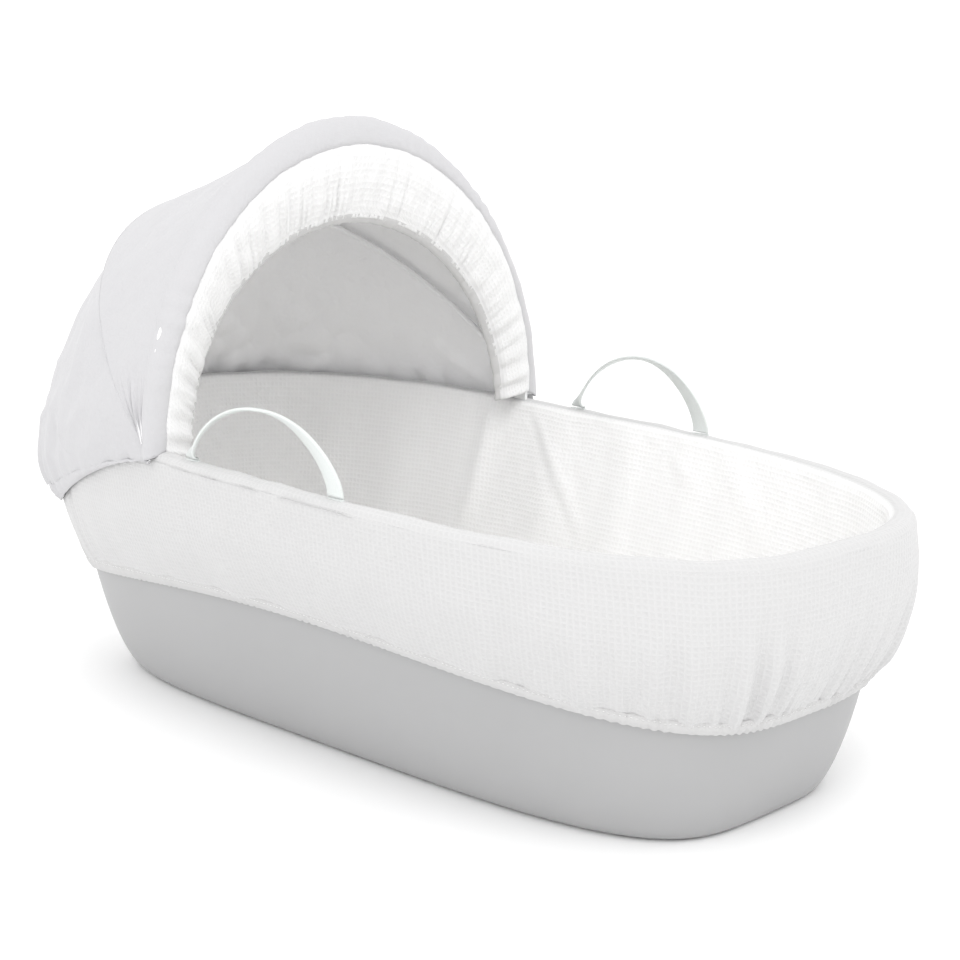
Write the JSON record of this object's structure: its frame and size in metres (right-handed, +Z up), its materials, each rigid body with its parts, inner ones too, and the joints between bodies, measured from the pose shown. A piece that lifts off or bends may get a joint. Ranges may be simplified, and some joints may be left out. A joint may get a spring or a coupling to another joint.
{
  "type": "moses basket",
  "caption": "Moses basket: smooth moulded tub with waffle-weave fabric dressing, mattress, standing carry straps and a fold-back fabric hood.",
  "frame": {"origin": "centre of the tub's flat underside", "axes": "+X towards the foot end, the hood end is at -X; +Y across; +Z up"},
  "size_m": [0.8528, 0.4622, 0.5155],
  "materials": {
    "shell": "satin moulded, smooth mid grey",
    "waffle": "white honeycomb waffle-weave cotton",
    "binding": "white narrow hem over elastic",
    "hood_cotton": "plain white woven cotton",
    "cover_cotton": "white quilted cotton",
    "foam": "cream open-cell foam",
    "strap": "soft white moulded strap",
    "fitting": "white moulded fitting",
    "steel": "spring-steel wire"
  },
  "bodies": {
    "tub": {"tub_shell": "shell", "dressing_floor": "waffle", "dressing_lining": "waffle", "dressing_rim_roll": "waffle", "dressing_skirt": "waffle", "skirt_hem_elastic": "binding", "strap_anchors_left": "strap", "strap_anchors_right": "strap", "hood_bracket_left": "fitting", "hood_bracket_right": "fitting", "hinge_pin_left": "steel", "hinge_pin_right": "steel", "hood_hem_elastic": "hood_cotton"},
    "mattress": {"mattress_core": "foam", "mattress_cover": "cover_cotton"},
    "strap_left": {"carry_strap_left": "strap"},
    "strap_right": {"carry_strap_right": "strap"},
    "rear_bow": {"rear_bow": "steel", "rear_bow_end_left": "fitting", "rear_bow_end_right": "fitting", "hood_rear_panel": "hood_cotton"},
    "front_bow": {"front_bow": "steel", "front_bow_end_left": "fitting", "front_bow_end_right": "fitting", "hood_front_panel": "hood_cotton", "front_band": "hood_cotton", "valance": "waffle", "valance_elastic": "binding"}
  },
  "joints": [
    {"name": "hood_rear_fold", "type": "hinge", "parent": "tub", "child": "rear_bow", "pos_m": [-0.108, 0, 0.255], "axis": [0, -1, 0], "range_deg": [0, 24], "deforming": ["hood_rear_panel"]},
    {"name": "hood_front_fold", "type": "hinge", "parent": "rear_bow", "child": "front_bow", "pos_m": [-0.108, 0, 0.255], "axis": [0, -1, 0], "range_deg": [0, 40], "deforming": ["hood_front_panel"]},
    {"name": "strap_left_swing", "type": "hinge", "parent": "tub", "child": "strap_left", "pos_m": [0.022, -0.21384, 0.244], "axis": [0.9987, 0.021, -0.0467], "range_deg": [-60, 30]},
    {"name": "strap_right_swing", "type": "hinge", "parent": "tub", "child": "strap_right", "pos_m": [0.04, 0.21346, 0.24319], "axis": [0.9986, -0.021, -0.0476], "range_deg": [-50, 50]},
    {"name": "mattress_lift", "type": "slide", "parent": "tub", "child": "mattress", "axis": [0, 0, 1], "range_m": [0, 0.15]}
  ],
  "couplings": [
    {"joint": "hood_front_fold", "follows": "hood_rear_fold", "ratio": 1.6667}
  ]
}
